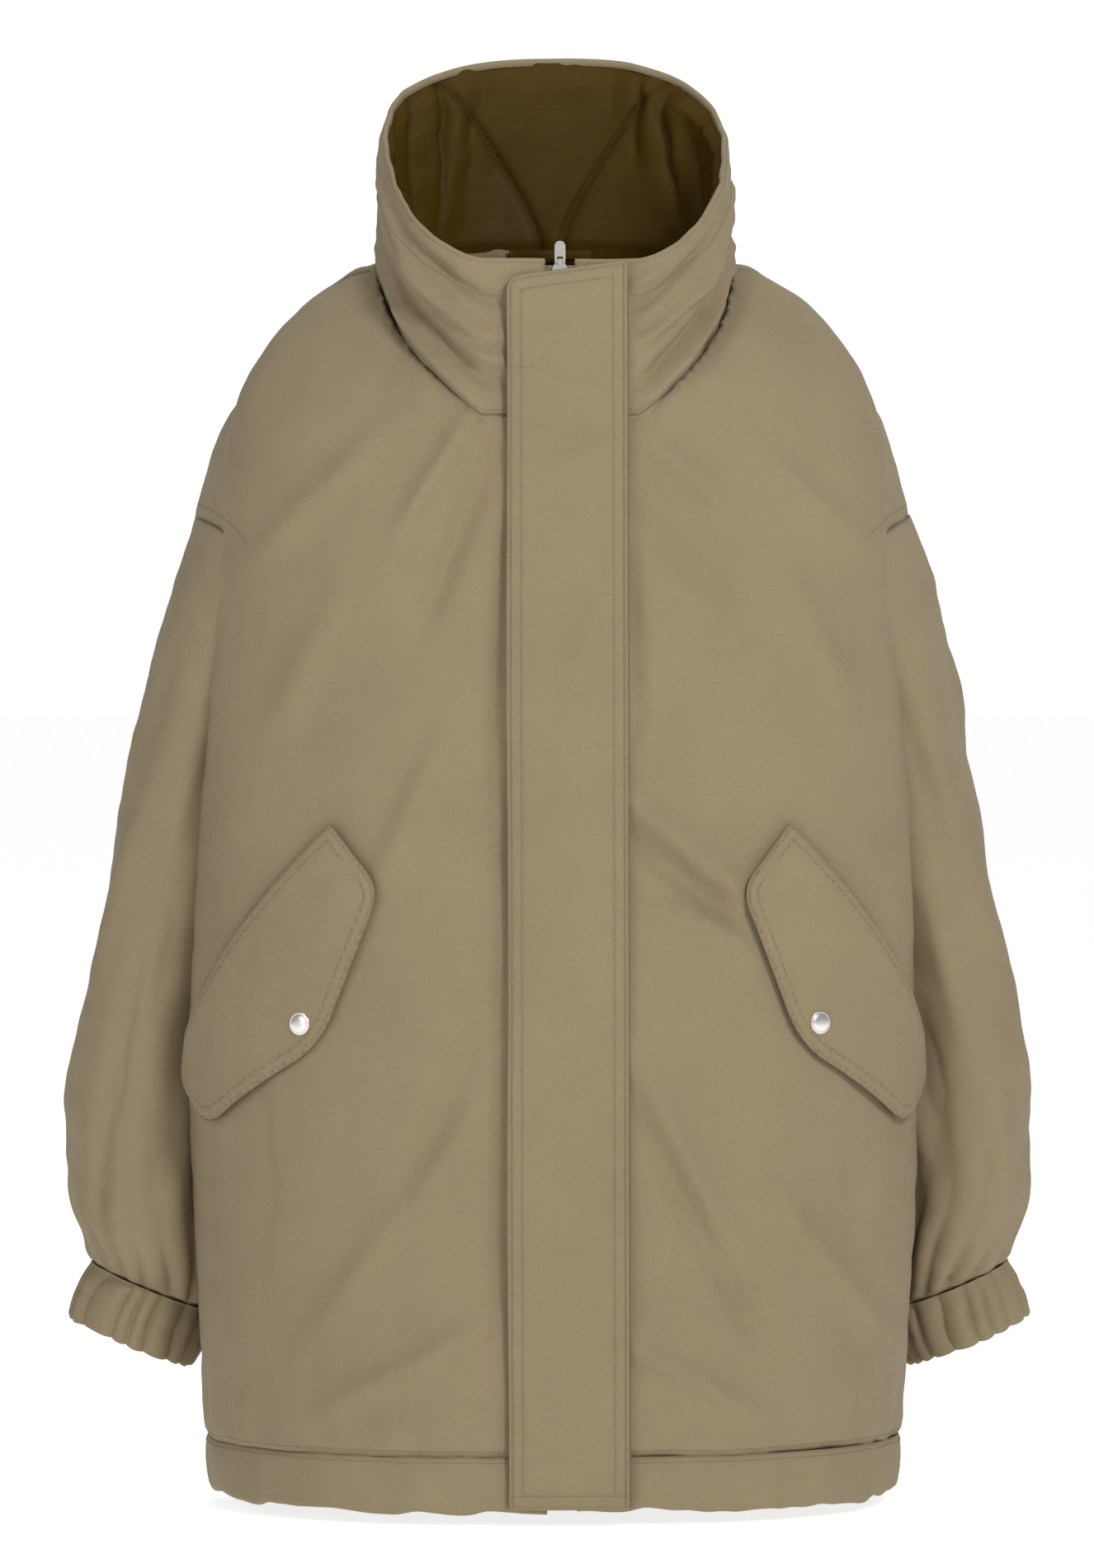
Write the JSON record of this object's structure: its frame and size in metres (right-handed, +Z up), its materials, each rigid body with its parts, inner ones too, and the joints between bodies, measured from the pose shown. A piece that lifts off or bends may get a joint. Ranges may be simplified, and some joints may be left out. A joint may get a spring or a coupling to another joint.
{
  "type": "padded jacket",
  "caption": "Wide padded parka jacket with a tall funnel collar, a storm flap over a zip, slanted snap pocket flaps, gathered cuffs and a quilted lining.",
  "frame": {"origin": "middle of the hanging loop at the back of the neck", "axes": "+Z up, the front of the jacket faces -Y, the wearer's right side is at -X"},
  "size_m": [0.657, 0.3256, 0.9676],
  "materials": {
    "shell_twill": "matt cotton twill with a soft sheen",
    "quilted_lining": "shiny ripstop lining, quilted",
    "pocketing": "plain weave",
    "zip_tape": "woven tape",
    "elastic": "ribbed elastic",
    "metal": "satin nickel"
  },
  "bodies": {
    "jacket": {"right_zip_tape": "zip_tape", "right_zip_teeth": "metal", "right_zip_top_stop": "metal", "left_zip_tape": "zip_tape", "left_zip_teeth": "metal", "left_zip_top_stop": "metal", "zip_box": "metal", "zip_pin": "metal", "storm_flap_seam_strip": "shell_twill", "storm_flap_snap_stud_1": "metal", "storm_flap_snap_stud_2": "metal", "storm_flap_snap_stud_3": "metal", "storm_flap_snap_stud_4": "metal", "right_front_shell": "shell_twill", "left_front_shell": "shell_twill", "back_shell": "shell_twill", "collar_shell": "shell_twill", "right_front_lining": "quilted_lining", "left_front_lining": "quilted_lining", "back_lining": "quilted_lining", "collar_lining": "quilted_lining", "hem_band": "shell_twill", "right_pocket_bag": "pocketing", "right_pocket_snap_stud": "metal", "left_pocket_bag": "pocketing", "left_pocket_snap_stud": "metal", "hanging_loop": "pocketing"},
    "storm_flap": {"storm_flap_outer": "shell_twill", "storm_flap_facing": "shell_twill", "storm_flap_snap_socket_1": "metal", "storm_flap_snap_socket_2": "metal", "storm_flap_snap_socket_3": "metal", "storm_flap_snap_socket_4": "metal"},
    "right_pocket_flap": {"right_pocket_flap": "shell_twill", "right_pocket_snap_cap": "metal", "right_pocket_snap_socket": "metal"},
    "left_pocket_flap": {"left_pocket_flap": "shell_twill", "left_pocket_snap_cap": "metal", "left_pocket_snap_socket": "metal"},
    "zip_slider": {"zip_slider": "metal"},
    "zip_pull": {"zip_pull": "metal"},
    "right_sleeve": {"right_sleeve_shell": "shell_twill", "right_sleeve_lining": "quilted_lining", "right_cuff": "shell_twill", "right_cuff_elastic": "elastic"},
    "left_sleeve": {"left_sleeve_shell": "shell_twill", "left_sleeve_lining": "quilted_lining", "left_cuff": "shell_twill", "left_cuff_elastic": "elastic"}
  },
  "joints": [
    {"name": "storm_flap_swing", "type": "hinge", "parent": "jacket", "child": "storm_flap", "pos_m": [0.0445, -0.21102, -0.43518], "axis": [0, 0.054, 0.9985], "range_deg": [0, 150]},
    {"name": "right_pocket_flap_lift", "type": "hinge", "parent": "jacket", "child": "right_pocket_flap", "pos_m": [-0.21633, -0.14555, -0.44986], "axis": [-0.4705, 0.514, -0.7172], "range_deg": [0, 110]},
    {"name": "left_pocket_flap_lift", "type": "hinge", "parent": "jacket", "child": "left_pocket_flap", "pos_m": [0.21633, -0.14555, -0.44986], "axis": [-0.4705, -0.514, 0.7172], "range_deg": [0, 110]},
    {"name": "zip_slide", "type": "slide", "parent": "jacket", "child": "zip_slider", "axis": [0, -0.054, -0.9985], "range_m": [0, 0.803]},
    {"name": "zip_pull_tip", "type": "hinge", "parent": "zip_slider", "child": "zip_pull", "pos_m": [0, -0.18046, -0.00428], "axis": [1, 0, 0], "range_deg": [0, 95]},
    {"name": "right_sleeve_raise", "type": "hinge", "parent": "jacket", "child": "right_sleeve", "pos_m": [-0.24169, -0.03514, -0.17556], "axis": [0, 1, 0], "range_deg": [0, 45]},
    {"name": "left_sleeve_raise", "type": "hinge", "parent": "jacket", "child": "left_sleeve", "pos_m": [0.24169, -0.03514, -0.17556], "axis": [0, -1, 0], "range_deg": [0, 45]}
  ]
}
